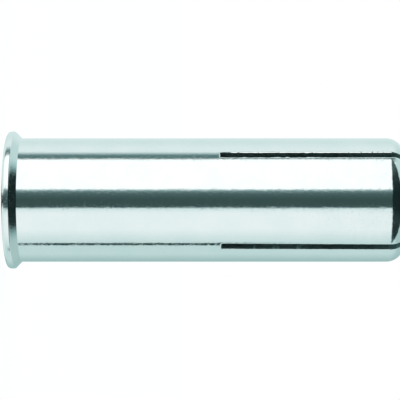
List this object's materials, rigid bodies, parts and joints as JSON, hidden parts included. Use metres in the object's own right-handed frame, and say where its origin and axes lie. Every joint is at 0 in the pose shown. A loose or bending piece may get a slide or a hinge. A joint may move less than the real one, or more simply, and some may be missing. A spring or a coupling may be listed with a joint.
{
  "type": "drop-in anchor",
  "caption": "Lipped drop-in anchor: a slotted steel sleeve with an internal thread, and a tapered plug that is hammered in to spread its legs in a drilled hole.",
  "frame": {"origin": "on the axis, at the lip's face, where the thread opens", "axes": "+Z along the axis from the lip's face to the slotted nose; the slots lie on the diagonals between X and Y"},
  "size_m": [0.0176, 0.0176, 0.0508],
  "materials": {
    "plated_steel": "bright blue-tinted zinc plating, satin gloss, with fine streaks along the axis",
    "plug_steel": "turned steel, lightly plated"
  },
  "bodies": {
    "sleeve": {"anchor_sleeve": "plated_steel"},
    "plug": {"expander_plug": "plug_steel"}
  },
  "joints": [
    {"name": "plug_drive", "type": "slide", "parent": "sleeve", "child": "plug", "axis": [0, 0, 1], "range_m": [0, 0.0101], "deforming": ["anchor_sleeve"]}
  ]
}
